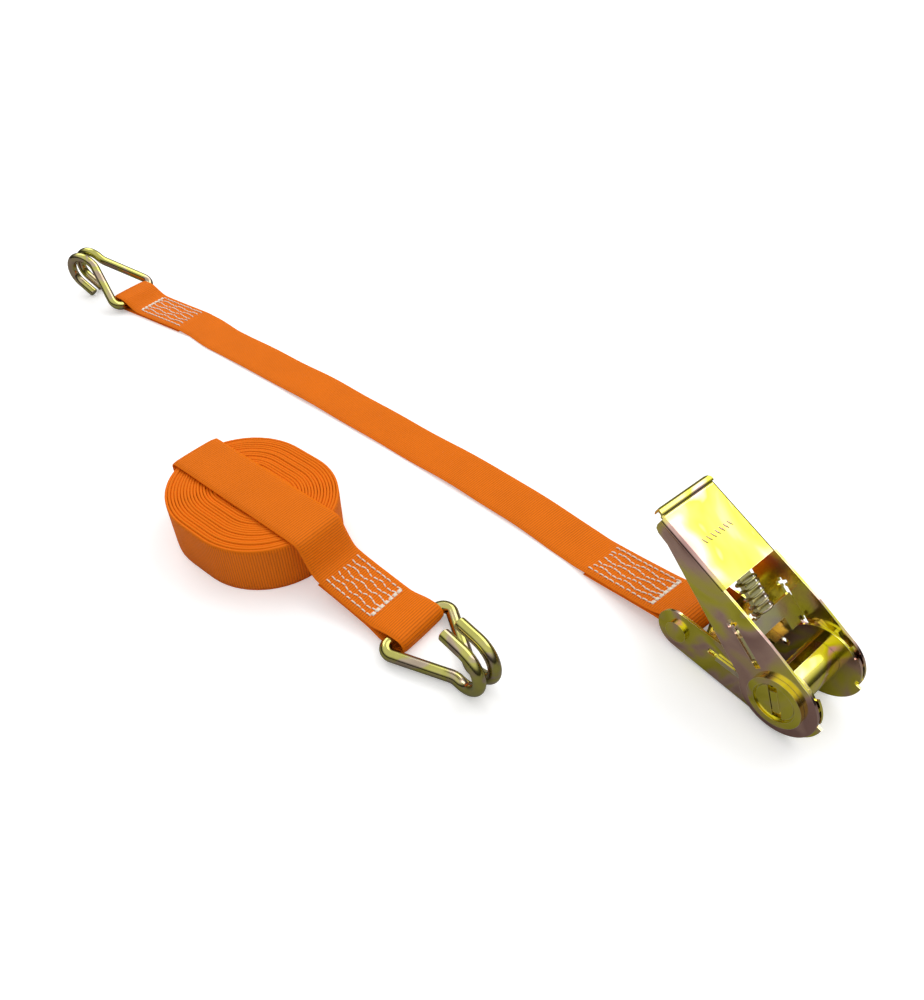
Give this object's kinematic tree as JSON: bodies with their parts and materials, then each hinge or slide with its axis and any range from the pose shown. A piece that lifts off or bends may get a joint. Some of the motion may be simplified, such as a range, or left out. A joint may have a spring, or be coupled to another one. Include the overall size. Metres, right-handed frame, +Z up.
{
  "type": "ratchet tie down",
  "caption": "Hand ratchet with a short hooked strap, and a long strap with its own double wire hook wound into a flat roll.",
  "frame": {"origin": "middle of the whole layout's base, on the floor", "axes": "+X along the ratchet towards its spool, +Y across the ratchet and away from the roll, +Z up from the floor"},
  "size_m": [0.5174, 0.1611, 0.0651],
  "materials": {
    "zinc": "bright yellow zinc plate",
    "pin": "zinc plate",
    "spring": "bright wire",
    "webbing": "woven polyester",
    "thread": "sewing thread"
  },
  "bodies": {
    "ratchet_frame": {"frame": "zinc", "strap_bolt": "pin", "bolt_sleeve": "pin", "lock_spring": "spring"},
    "lock_plate": {"lock_plate": "pin"},
    "handle": {"handle": "zinc", "pawl_spring": "spring"},
    "release_pawl": {"release_pawl": "pin"},
    "spool": {"wheel_left": "zinc", "wheel_right": "zinc", "half_shaft_front": "zinc", "half_shaft_rear": "zinc", "collar_left": "zinc", "collar_right": "zinc", "shaft_pin_left": "pin", "shaft_pin_right": "pin"},
    "short_strap": {"short_strap": "webbing", "short_strap_stitching_ratchet": "thread", "short_strap_stitching_hook": "thread"},
    "short_hook": {"short_hook": "zinc"},
    "long_strap": {"long_strap_roll": "webbing", "long_strap_tail": "webbing", "long_strap_stitching": "thread"},
    "long_hook": {"long_hook": "zinc"}
  },
  "joints": [
    {"name": "handle_swing", "type": "hinge", "parent": "ratchet_frame", "child": "handle", "pos_m": [0.2413, 0.062, 0.0175], "axis": [0, 1, 0], "range_deg": [-23, 157]},
    {"name": "release_pawl_slide", "type": "slide", "parent": "handle", "child": "release_pawl", "axis": [-0.7771, 0, 0.6293], "range_m": [0, 0.0035], "stiffness_N_per_m": 300, "springref_m": -0.004, "deforming": ["pawl_spring"]},
    {"name": "lock_plate_slide", "type": "slide", "parent": "ratchet_frame", "child": "lock_plate", "axis": [-1, 0, 0], "range_m": [0, 0.0035], "stiffness_N_per_m": 300, "springref_m": -0.004, "deforming": ["lock_spring"]},
    {"name": "spool_turn", "type": "hinge", "parent": "ratchet_frame", "child": "spool", "pos_m": [0.2413, 0.062, 0.0175], "axis": [0, 1, 0], "continuous": true},
    {"name": "short_strap_swing", "type": "hinge", "parent": "ratchet_frame", "child": "short_strap", "pos_m": [0.1953, 0.062, 0.0115], "axis": [0, 1, 0], "range_deg": [0, 15]},
    {"name": "short_hook_swing", "type": "hinge", "parent": "short_strap", "child": "short_hook", "pos_m": [-0.2167, 0.003, 0.00435], "axis": [-0.4781, 0.8783, 0], "range_deg": [0, 60]},
    {"name": "long_strap_lift", "type": "slide", "parent": "ratchet_frame", "child": "long_strap", "axis": [0, 0, 1], "range_m": [0, 0.1]},
    {"name": "long_hook_swing", "type": "hinge", "parent": "long_strap", "child": "long_hook", "pos_m": [0.1193, -0.0275, 0.00435], "axis": [0.0349, -0.9994, 0], "range_deg": [0, 90]}
  ]
}
